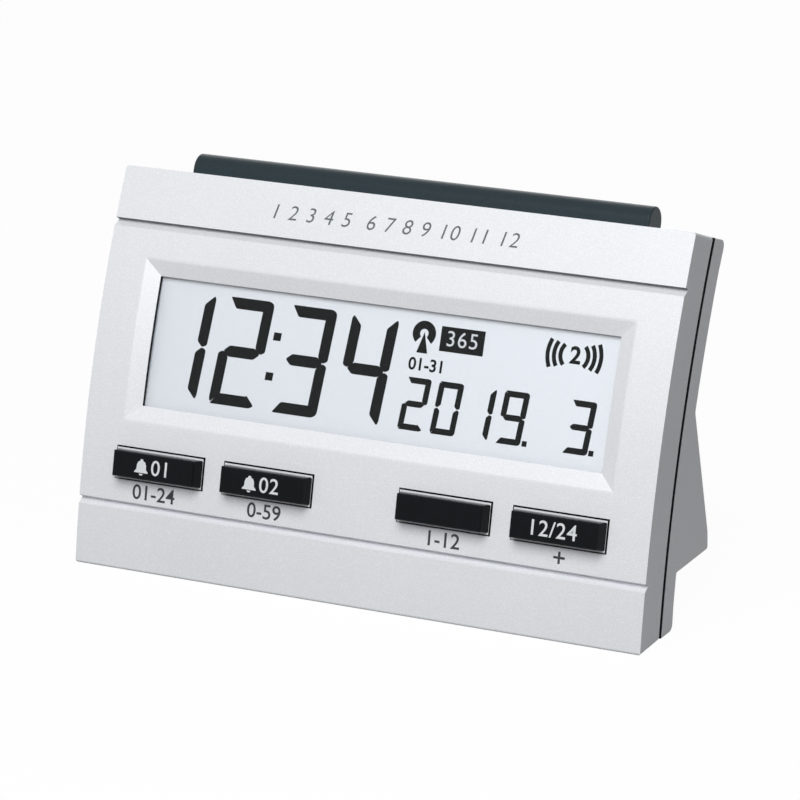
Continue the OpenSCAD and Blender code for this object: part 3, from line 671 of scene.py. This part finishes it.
class CLOCK_OT_finishes(bpy.types.Operator):
    """Makes the finishes of the clock's parts"""

    bl_idname = "clock.finishes"
    bl_label = "Finishes"

    def execute(self, context):
        tint = sizes("colours")
        silver_paint("silver_lacquer", tint.silver)
        silver_paint("silver_key_rim", tinted(tint.silver, 0.98))
        # Satin ABS with a fine spark-eroded texture
        moulded("slate_abs", tint.slate, 0.34, 0.5, 0.02, shine=0.09)
        # Polished black ABS: a deep gloss with barely any texture
        moulded("gloss_black_abs", tint.black, 0.16, 1.2, 0.004, spread=0.15, shine=0.09)
        clear_acrylic("clear_acrylic")
        display_reflector("display_reflector", tint.panel)
        screen_ink("display_figures", tint.segment, 0.5, 0.02)
        for ink in ("dark_ink", "grey_ink", "white_ink"):
            screen_ink(ink, getattr(tint, ink))
        screen_ink("pale_display_figures", tint.panel, 0.5)
        # Black painted shade in the seam and black on the window's walls, and grey painted shade on the
        # upper groove's steep wall
        moulded("black_walls_and_seam_shade", linear("#0C0E10"), 0.6, 0.5, 0.01, shine=0.1)
        moulded("grey_groove_shade", linear("#7A7D7E"), 0.6, 0.5, 0.01, shine=0.1)
        # Natural ABS of the frame inside: milky and slightly rough
        moulded("natural_abs", linear("#E4E4DE"), 0.45, 0.6, 0.02, spread=0.03)
        # Layered silicone strip: soft and dull
        moulded("pink_silicone", linear("#D08C98"), 0.6, 0.25, 0.03, spread=0.1)
        # Glass-filled nylon of the switches: dull with a visible grain
        moulded("black_nylon", linear("#2A2B2D"), 0.55, 0.4, 0.03, spread=0.2)
        # Acetal of the switch plungers: waxy
        moulded("red_acetal", linear("#8E2A22"), 0.35, 0.8, 0.01)
        # Epoxy over the chips: black, with a slow wavy skin
        moulded("black_epoxy", linear("#17181B"), 0.28, 1.6, 0.08, spread=0.2)
        # Pressed ferrite: dark grey ceramic with a granular break
        moulded("pressed_ferrite", linear("#37383C"), 0.5, 0.3, 0.04, spread=0.15)
        # Shrunk sleeve of the capacitor
        moulded("blue_sleeve", linear("#27406B"), 0.3, 1.0, 0.02)
        # Soft insulation of the leads
        moulded("red_pvc", linear("#A33229"), 0.45, 0.7, 0.02)
        plated("nickel_steel", linear("#BFC1C3"), 0.3, 0.25)
        plated("zinc_screw", linear("#A9ACB0"), 0.34, 0.2)
        circuit_board("green_board")
        wire_winding("copper_winding")
        cell_sleeve("printed_sleeve")
        return {"FINISHED"}


class CLOCK_OT_front(bpy.types.Operator):
    """Models the front shell with its window, key holes, grooves and snooze slot"""

    bl_idname = "clock.front_shell"
    bl_label = "Front shell"

    def execute(self, context):
        case = sizes("case")
        view = sizes("display")
        keys = sizes("controls")
        top, sag = top_edge()
        shell = curved_slab("clock_front_shell", case.width, 0, case.depth, 0, 0)
        carve(shell, self.foot())
        self.round_corners(shell, top, Matrix())
        self.round_corners(shell, 0, display_matrix().inverted() @ Matrix.Rotation(-math.pi / 2, 4, "X"))
        carve(shell, curved_slab("hollow", case.width - 2 * case.wall, case.face_wall, case.depth + OVER,
                                 case.wall, case.wall))
        carve(shell, self.groove(case.groove_up, 0))
        carve(shell, self.groove(-case.groove_down, case.groove_lean))
        for share in (1, 2, 3):
            carve(shell, self.window(view.slope * share / 3))
        # The openings are cut right through the walls
        carve(shell, block("opening", (view.width, view.height, 6 * MM), (0, 0, -3.2 * MM)))
        opening = (keys.key_width + 2 * keys.key_gap, keys.key_height + 2 * keys.key_gap, 9 * MM)
        for x in key_places():
            hole = block("key_hole", opening, (0, 0, 0))
            place(hole, face_matrix(-keys.key_drop, x))
            carve(shell, hole)
        slot = (keys.bar_length + 2 * keys.bar_gap, 8 * MM, keys.bar_thick + 2 * keys.bar_gap)
        carve(shell, block("bar_slot", slot, (0, top, -sag - keys.bar_depth)))
        clean(shell, 0.02)
        soften(shell, case.edge, angle=12)
        self.mark_faces(shell)
        place(shell, display_matrix())
        # Black painted shade in the seam, black window walls, and grey painted shade in the upper groove
        finish_piece(shell, "case", "silver_case", "silver_lacquer", "black_walls_and_seam_shade", "grey_groove_shade")
        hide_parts("front_shell")
        return {"FINISHED"}

    def mark_faces(self, shell):
        """Marks the window's walls black, the seam black as painted shade, and the upper groove's steep
        wall grey as painted shade.
        """
        case = sizes("case")
        view = sizes("display")
        radius = case.face_radius
        for face in shell.data.polygons:
            spot = face.center
            inside = max(abs(spot.x) - view.width / 2, abs(spot.y) - view.height / 2) < 0.1 * MM
            seam = depth_of(spot) > case.depth - case.edge - 0.02 * MM
            lip = abs(radius * math.atan2(spot.y, spot.z + radius) - case.groove_up) < 0.3 * MM
            # Seam faces get black painted shade, and the window's walls are black
            face.material_index = int(seam or inside and abs(face.normal.z) < 0.6)
            # The upper groove's downward-facing wall is painted grey as its shade
            if lip and face.normal.y < -0.9:
                face.material_index = 2

    def foot(self):
        """A cutter that rounds the lower front edge."""
        case = sizes("case")
        turn = display_matrix()
        axis = turn @ Vector((0, 0, -case.face_radius))
        r = case.foot_round
        reach = case.face_radius - r
        y = axis.y - math.sqrt(reach ** 2 - (r - axis.z) ** 2)
        high = axis.z + (r - axis.z) * case.face_radius / reach
        low = -1 * MM
        tool = block("foot", (case.width + 2 * OVER, 2 * OVER, high - low), (0, y - OVER, (high + low) / 2))
        carve(tool, begin("roller", bpy.ops.mesh.primitive_cylinder_add, vertices=64, radius=r,
                          depth=case.width + 4 * OVER, location=(0, y, r), rotation=(0, math.pi / 2, 0)))
        place(tool, turn.inverted())
        return tool

    def round_corners(self, shell, level, turn):
        """Rounds the shell's two corners at that level of a turned frame."""
        case = sizes("case")
        reach = 100 * MM
        keep = block("corners", (case.width + 2 * WELD, 2 * reach, 2 * reach), (0, level + WELD - reach, 0))
        with editing(keep):
            round_off(keep, case.corner, 6, lambda e: span(e, 2) > reach and middle(e).y > level - 1 * MM)
        place(keep, turn)
        carve(shell, keep, "INTERSECT")

    def groove(self, arc, lean):
        """A V-shaped cutter: steep under its upper lip, less so with a lean, with a long slope below."""
        case = sizes("case")
        over = 0.6 * MM
        tall = case.groove_depth + over
        wide = case.groove_width * tall / case.groove_depth
        tool = block("groove", (case.width + 2 * OVER, wide, tall),
                     (0, -wide * 0.4, (over - case.groove_depth) / 2))
        with editing(tool):
            choose(tool, "VERT", lambda v: v.co.z < 0)
            stretch(y=0, centre=(0, -lean, 0))
            bpy.ops.mesh.remove_doubles(threshold=WELD)
        place(tool, face_matrix(arc))
        return tool

    def window(self, slope):
        """A cutter for one steepness of the rolled slope round the window."""
        view = sizes("display")
        radius = sizes("case").face_radius
        bevel = view.bevel - view.roll * math.tan(slope / 2)
        depth = bevel * math.tan(slope)
        over = 1 * MM
        half = view.height / 2
        reach = (half + bevel + over / math.tan(slope) + OVER) / radius
        tool = spun("window", view.width, -over, depth, reach, reach, bevel * (over + depth) / depth)
        inner = math.sqrt((radius - depth) ** 2 - half ** 2) - radius
        outer = math.sqrt(radius ** 2 - (half + bevel) ** 2) - radius
        with editing(tool):
            for side in (1, -1):
                cut_off((0, side * half, inner), (0, side * (outer - inner), -bevel), clear_outer=True)
            turn_out()
        return tool


class CLOCK_OT_back(bpy.types.Operator):
    """Finishes the rear shell, the battery door, the stand and the screws"""

    bl_idname = "clock.back"
    bl_label = "Back, door and stand"

    def execute(self, context):
        edge = sizes("case").edge
        silver = ("silver_case", "silver_lacquer")
        steel = ("screw_steel", "zinc_screw")
        for node, body, (slot, finish), width in (
                ("rear_shell", "case", silver, edge), ("battery_door", "door", silver, edge * 0.7),
                ("stand", "stand_leg", silver, edge), ("case_screws", "case", steel, edge * 0.6)):
            made = copy_of(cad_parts[node], "clock_" + node)
            for key in [key for key in made.keys() if key.startswith("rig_")]:
                del made[key]
            made.parent = None
            clean(made)
            if node in ("rear_shell", "stand"):
                soften_long(made, width, self.by_buzzer)
            else:
                soften(made, width)
            if node == "rear_shell":
                self.paint_seam_shade(made)
            # Faces marked in the rear shell's seam take the black painted shade
            finish_piece(made, body, slot, finish, "black_walls_and_seam_shade")
            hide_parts(node)
        return {"FINISHED"}

    def by_buzzer(self, edge):
        """Whether an edge belongs to the sound slots, which stay sharp, or to the ring behind them."""
        low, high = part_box("buzzer")
        spot = middle(edge)
        return low.x < spot.x < high.x and low.z < spot.z < high.z

    def paint_seam_shade(self, shell):
        """Marks the faces in the seam for the black painted shade."""
        case = sizes("case")
        back = display_matrix().inverted()
        for face in shell.data.polygons:
            behind = depth_of(back @ face.center) - case.depth
            face.material_index = int(-0.05 * MM < behind < case.seam + case.edge + 0.02 * MM)


class CLOCK_OT_keys(bpy.types.Operator):
    """Models one key and copies it to the four places"""

    bl_idname = "clock.keys"
    bl_label = "Keys"

    def execute(self, context):
        keys = sizes("controls")
        first = self.key()
        for number, x in enumerate(key_places(), 1):
            made = copy_of(first, f"clock_key_{number}")
            place(made, display_matrix() @ face_matrix(-keys.key_drop, x))
            finish_piece(made, f"button_{number}", "key_black", "gloss_black_abs", "silver_key_rim")
            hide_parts(f"key_{number}")
        bpy.data.objects.remove(first)
        return {"FINISHED"}

    def key(self):
        """A key about the origin: a flange inside, a rim in the hole and a drafted gloss block."""
        keys = sizes("controls")
        rim = keys.key_rim_rise
        base = -(sizes("case").face_wall + PLAY)
        wide = keys.key_width - 2 * keys.key_rim
        tall = keys.key_height - 2 * keys.key_rim
        foot = keys.key_width - 2 * keys.key_side
        lap = 2 * keys.key_lap
        made = block("key", (keys.key_width, keys.key_height, rim - base), (0, 0, (rim + base) / 2))
        with editing(made):
            # The block rises inside the rim and narrows by its draft
            choose(made, "FACE", lambda f: f.normal.z > 0.5)
            bpy.ops.mesh.inset(thickness=keys.key_rim)
            stretch(foot / wide)
            extrude(keys.key_lift, keys.key_rise - rim)
            stretch((wide - 2 * keys.key_draft) / foot, (tall - 2 * keys.key_slant) / tall)
            # The flange behind the face keeps the key from falling out
            choose(made, "FACE", lambda f: f.normal.z < -0.5)
            extrude()
            stretch((keys.key_width + lap) / keys.key_width, (keys.key_height + lap) / keys.key_height)
            extrude(z=-keys.key_flange)
            # The block's upper edges and its corners are rounded more than the rest
            round_off(made, keys.key_top, 4, lambda e: lowest(e) > keys.key_rise - 0.01 * MM)
            round_off(made, keys.key_corner, 4,
                      lambda e: lowest(e) + span(e, 2) > rim + 0.8 * MM and lowest(e) < rim + 0.1 * MM)
            turn_out()
        soften(made, keys.key_edge, angle=40)
        for face in made.data.polygons:
            face.material_index = int(0 < face.center.z < rim + 0.03 * MM)
        return made


class CLOCK_OT_snooze(bpy.types.Operator):
    """Models the snooze bar along the top"""

    bl_idname = "clock.snooze_bar"
    bl_label = "Snooze bar"

    def execute(self, context):
        keys = sizes("controls")
        top, sag = top_edge()
        ledge = top - sizes("case").wall - PLAY
        crown = top + keys.bar_rise
        bar = block("clock_snooze_bar", (keys.bar_length, crown - ledge, keys.bar_thick),
                    (0, (crown + ledge) / 2, -sag - keys.bar_depth))
        with editing(bar):
            # A half round runs along the top
            round_off(bar, keys.bar_thick / 2 * 0.985, 14,
                      lambda e: span(e, 0) > keys.bar_length / 2 and middle(e).y > crown - 0.1 * MM)
            # The flange under the case holds the bar in its slot
            choose(bar, "FACE", lambda f: f.normal.y < -0.5)
            extrude()
            stretch((keys.bar_length + 2 * keys.bar_lap) / keys.bar_length)
            extrude(-keys.bar_flange)
            turn_out()
        soften(bar, keys.bar_edge, 3, 40)
        place(bar, display_matrix())
        finish_piece(bar, "snooze", "bar_grey", "slate_abs")
        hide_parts("snooze_bar")
        return {"FINISHED"}


SEGMENTS = {"0": "abcdef", "1": "bc", "2": "abged", "3": "abgcd", "4": "fgbc", "9": "abcdfg"}


def rounded(loop, radius):
    """An outline with rounded corners."""
    points = [Vector(point) for point in loop]
    made = []
    for before, corner, after in zip(points[-1:] + points[:-1], points, points[1:] + points[:1]):
        start = corner.lerp(before, min(0.45, radius / (before - corner).length))
        end = corner.lerp(after, min(0.45, radius / (after - corner).length))
        for share in (0, 0.25, 0.5, 0.75, 1):
            made.append(tuple(start.lerp(corner, share).lerp(corner.lerp(end, share), share)))
    return made


def segment_loops(digit, width, height, stroke):
    """Outlines of a seven-segment digit whose lower left corner is the origin."""
    half = height / 2
    mid = stroke / 2
    tip = stroke * 0.45
    cut = stroke * 0.46
    nip = stroke * 0.14
    lap = stroke * 0.1
    inner = width - stroke
    top = [(nip, height), (width - cut, height), (width - nip + lap, height - nip - lap),
           (inner + lap, height - stroke - lap), (inner, height - stroke), (stroke * 0.85, height - stroke)]
    right = [(width - nip, height - nip), (width, height - cut), (width, half + tip * 0.5),
             (width - tip, half), (inner, half + mid), (inner, height - stroke)]
    bar = [(tip, half), (stroke, half + mid), (inner, half + mid), (width - tip, half), (inner, half - mid),
           (stroke, half - mid)]
    shapes = {"a": top, "b": right, "f": [(width - x, y) for x, y in right], "g": bar}
    for below, above in ("cb", "da", "ef"):
        shapes[below] = [(x, height - y) for x, y in shapes[above]]
    return [rounded(shapes[key], stroke * 0.18) for key in SEGMENTS[digit]]


def arc_loop(x, y, outer, inner, start, end):
    """Outline of a bent stroke between two radii and two angles in degrees."""
    steps = 24
    angles = [math.radians(start + (end - start) * i / steps) for i in range(steps + 1)]
    ring = [(outer, a) for a in angles] + [(inner, a) for a in reversed(angles)]
    return [(x + r * math.cos(a), y + r * math.sin(a)) for r, a in ring]


class CLOCK_OT_display(bpy.types.Operator):
    """Draws the display's figures and signs behind the lens"""

    bl_idname = "clock.display"
    bl_label = "Display"

    def execute(self, context):
        view = sizes("display")
        large = (view.digit_width, view.digit_height, view.stroke)
        small = (view.small_width, view.small_height, view.small_stroke)
        films = []
        # Lower left corners of the digits, in millimetres from the window's middle
        for kind, shape, y, row in (
                ("large", large, -10.8, ((-49.75, "1"), (-36.57, "2"), (-22.47, "3"), (-8.82, "4"))),
                ("small", small, -10.45,
                 ((5.75, "2"), (12.8, "0"), (19.9, "1"), (26.95, "9"), (41.15, "3")))):
            for number, (x, digit) in enumerate(row):
                films.append(self.digit(f"{kind}_{number}", digit, x * MM, y * MM, *shape))
        films.append(flat_shape("signs", self.signs(), FIGURE_FILM, MM))
        for name, body, high, weight, x, y in (
                ("wave_number", "2", 3.4, 0.04, 41.28, 8.4), ("day_range", "01-31", 2.5, 0.03, 10.23, 2.6)):
            made = written(name, body, high * MM, FIGURE_FILM, weight=weight)
            place(made, Matrix.Translation((x * MM, y * MM, 0)))
            films.append(made)
        figures = join("clock_display_figures", *films)
        level = display_matrix() @ Matrix.Translation((0, 0, -view.image_depth))
        place(figures, level)
        finish_piece(figures, "case", "display_glass", "display_figures")
        pale = written("clock_display_box_number", "365", 3.2 * MM, FIGURE_FILM, spacing=1.12)
        place(pale, level @ Matrix.Translation((17.12 * MM, 8.35 * MM, 0.008 * MM)))
        finish_piece(pale, "case", "display_glass", "pale_display_figures")
        return {"FINISHED"}

    def digit(self, name, digit, x, y, width, height, stroke):
        """One digit, leaning to the right."""
        lean = math.tan(sizes("display").slant)
        films = []
        for number, loop in enumerate(segment_loops(digit, width, height, stroke)):
            outline = [(x + px + py * lean, y + py) for px, py in loop]
            films.append(flat_shape(f"{name}_{number}", [outline], FIGURE_FILM))
        return join(name, *films)

    def signs(self):
        """The colon, the points, the receiver sign, the box and the sound waves, in millimetres."""
        loops = [self.point(x, y - 0.82, y + 0.82, 0.9, 0.8) for x, y in ((-23.12, 4.3), (-23.72, -3.8))]
        loops += [self.point(x, -10.4, -9.3, 0.54, 0.5) for x in (33.2, 47.3)]
        loops += [arc_loop(8.79, 8.88, 2.53, 0.91, -48, 228), [(8.85, 9.2), (10.0, 4.98), (7.6, 4.98)],
                  [(12.4, 5.88), (21.84, 5.88), (21.84, 10.82), (12.4, 10.82)]]
        for offset, reach, bend in ((2.92, 2.0, 1.45), (4.27, 2.42, 1.85), (5.62, 2.78, 2.3)):
            for side in (1, -1):
                loops.append(self.wave(41.03 + side * offset, 8.45, reach, reach * bend, side))
        return loops

    def point(self, x, low, high, far, near):
        """A square point that leans to the right."""
        return [(x - far, low), (x + near, low), (x + far, high), (x - near, high)]

    def wave(self, x, y, reach, radius, side):
        """One bent stroke of the sound waves, bulging outwards."""
        half_stroke = 0.43
        spread = math.degrees(math.asin(reach / radius))
        start = -spread if side > 0 else 180 - spread
        return arc_loop(x - side * radius, y, radius + half_stroke, radius - half_stroke, start,
                        start + 2 * spread)


class CLOCK_OT_prints(bpy.types.Operator):
    """Prints the figures and signs on the case and on the keys"""

    bl_idname = "clock.prints"
    bl_label = "Prints"

    def execute(self, context):
        keys = sizes("controls")
        view = display_matrix()
        proud = 0.014 * MM
        # Ink, arc from the display's middle in millimetres, and style of the two rows
        upper = ("grey_ink", 29.1, {"shear": 0.2, "spacing": 1.14, "weight": -0.006})
        lower = ("dark_ink", -31.0, {"weight": 0.012})
        for name, body, x, high, (ink, arc, style) in (
                ("strip", "1 2 3 4 5  6 7 8 9 10 11 12", -0.8, 3.15, upper),
                ("hours", "01-24", -45.4, 3.1, lower), ("minutes", "0-59", -20.2, 3.1, lower),
                ("range", "1-12", 19.2, 3.1, lower), ("plus", "+", 44.15, 3.6, lower)):
            made = written(f"clock_{name}_print", body, high * MM, INK_FILM, **style)
            place(made, view @ face_matrix(arc * MM, x * MM, proud))
            finish_piece(made, "case", "silver_case", ink)
        for number, body in ((1, "01"), (2, "02"), (4, "12/24")):
            made = written("figure", body, 3.2 * MM, INK_FILM, weight=0.008, spacing=1.06)
            if number < 3:
                place(made, Matrix.Translation((2.1 * MM, 0, 0)))
                made = join("figure", made, flat_shape("bell", self.bell(), INK_FILM, MM))
            named(made, f"clock_key_print_{number}")
            x = key_places()[number - 1] - 0.2 * MM
            place(made, view @ face_matrix(-keys.key_drop, x, keys.key_rise + 0.004 * MM))
            finish_piece(made, f"button_{number}", "key_black", "white_ink")
        return {"FINISHED"}

    def bell(self):
        """A small alarm bell, in millimetres."""
        aside = 2.3
        right = [(0.0, 1.65), (0.27, 1.6), (0.33, 1.3), (0.8, 1.05), (1.05, 0.45), (1.1, -0.45),
                 (1.55, -0.95), (1.55, -1.15)]
        left = [(-x, y) for x, y in reversed(right[1:])]
        clapper = [(-0.45, -1.32), (0.45, -1.32), (0.28, -1.65), (-0.28, -1.65)]
        return [[(x - aside, y) for x, y in loop] for loop in (right + left, clapper)]


class CLOCK_OT_inside(bpy.types.Operator):
    """Gives the parts that keep their CAD shape their finishes"""

    bl_idname = "clock.inside"
    bl_label = "Parts inside"

    def execute(self, context):
        finishes = {
            "clear_acrylic": "lens", "display_reflector": "lcd_glass", "natural_abs": "lcd_holder",
            "pink_silicone": "contact_strips", "green_board": "main_board",
            "black_nylon": "key_switches snooze_switches snooze_plungers buzzer",
            "red_acetal": "plunger_1 plunger_2 plunger_3 plunger_4",
            "black_epoxy": "clock_chip receiver_chip", "pressed_ferrite": "ferrite_rod",
            "nickel_steel": "crystal contact_plus contact_minus", "blue_sleeve": "capacitor",
            "copper_winding": "antenna_coil antenna_leads", "red_pvc": "buzzer_leads",
            "printed_sleeve": "cell_1 cell_2", "zinc_screw": "board_screws"}
        for finish, nodes in finishes.items():
            for node in nodes.split():
                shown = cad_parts[node].data.materials
                shown.clear()
                shown.append(bpy.data.materials[finish])
        return {"FINISHED"}


class CLOCK_OT_stage(bpy.types.Operator):
    """Sets the floor, the light and the camera"""

    bl_idname = "clock.stage"
    bl_label = "Stage"

    def execute(self, context):
        scene = context.scene
        scene.view_settings.view_transform = "Standard"
        floor = begin("stage_floor", bpy.ops.mesh.primitive_plane_add, size=8, location=(0, 0, 0))
        self.floor_finish("white_board")
        floor.data.materials.append(bpy.data.materials["white_board"])
        self.sky(scene)
        self.lamp("soft_box", (0.1, -0.64, 0.66), 0.6, 7.8)
        self.lamp("back_light", (-0.5, 1.0, 0.5), 0.8, 2.5)
        camera = linked("camera", bpy.data.cameras.new("camera"))
        # The camera stands to the right of the clock and looks down on it
        camera.location = (0.333695, -0.687439, 0.273658)
        camera.rotation_euler = (math.radians(90 - 17.16), 0, math.radians(25.77))
        camera.data.lens = 180
        scene.camera = camera
        return {"FINISHED"}

    def lamp(self, name, spot, side, power):
        """A square soft light that faces the clock."""
        made = linked(name, bpy.data.lights.new(name, "AREA"))
        made.data.size = side
        made.data.energy = power
        made.location = spot
        target = Vector((0, 0, 0.04))
        made.rotation_euler = (Vector(spot) - target).to_track_quat("Z", "Y").to_euler()

    def sky(self, scene):
        """Even studio light, seen as white by the camera and in reflections."""
        world = bpy.data.worlds.new("studio")
        world.use_nodes = True
        scene.world = world
        tree = world.node_tree
        tree.nodes.clear()
        level = ranged(in_sight(tree), 0.12, 1.0)
        light = add_node(tree, "Background", {"Color": linear("#FFFFFF"), "Strength": level})
        add_node(tree, "OutputWorld", {"Surface": light.outputs[0]})

    def floor_finish(self, name):
        """White studio board: it shows white to the camera and keeps a soft shadow."""
        tree, where = new_finish(name)
        tone = blend(noise(where, 3, 2.0), linear("#F5F5F5"), linear("#F8F8F8"))
        shown = in_sight(tree)
        # Light that bounces off the board is held back, so that the clock's sides stay shaded
        matt = add_node(tree, "BsdfDiffuse", {"Color": mixed(shown, linear("#818181"), tone)})
        white = add_node(tree, "Emission", {"Color": linear("#FFFFFF")})
        share = reckon("MULTIPLY", shown, 0.96)
        show(tree, {0: share, 1: matt.outputs[0], 2: white.outputs[0]}, "MixShader")


STEPS = (CLOCK_OT_finishes, CLOCK_OT_front, CLOCK_OT_back, CLOCK_OT_keys, CLOCK_OT_snooze, CLOCK_OT_display,
         CLOCK_OT_prints, CLOCK_OT_inside, CLOCK_OT_stage)
GROUPS = {"clock_case": CaseSizes, "clock_display": DisplaySizes, "clock_controls": ControlSizes,
          "clock_colours": ClockColours}


class CLOCK_PT_panel(bpy.types.Panel):
    """Lists the settings and the steps that model the clock"""

    bl_label = "Desk alarm clock"
    bl_idname = "CLOCK_PT_panel"
    bl_space_type = "VIEW_3D"
    bl_region_type = "UI"
    bl_category = "Clock"

    def draw(self, context):
        for name in GROUPS:
            group = getattr(context.scene, name)
            box = self.layout.box()
            for key in group.__annotations__:
                box.prop(group, key, text=key.replace("_", " ").capitalize())
        for step in STEPS:
            self.layout.operator(step.bl_idname)


CLASSES = (*GROUPS.values(), *STEPS, CLOCK_PT_panel)


def register():
    """Registers the settings, the steps and the panel."""
    for each in CLASSES:
        bpy.utils.register_class(each)
    for name, group in GROUPS.items():
        setattr(bpy.types.Scene, name, PointerProperty(type=group))


def unregister():
    """Removes what register added."""
    for name in GROUPS:
        delattr(bpy.types.Scene, name)
    for each in reversed(CLASSES):
        bpy.utils.unregister_class(each)


def main():
    """Models the clock step by step."""
    register()
    bpy.ops.clock.finishes()
    bpy.ops.clock.front_shell()
    bpy.ops.clock.back()
    bpy.ops.clock.keys()
    bpy.ops.clock.snooze_bar()
    bpy.ops.clock.display()
    bpy.ops.clock.prints()
    bpy.ops.clock.inside()
    bpy.ops.clock.stage()


if __name__ == "__main__":
    main()
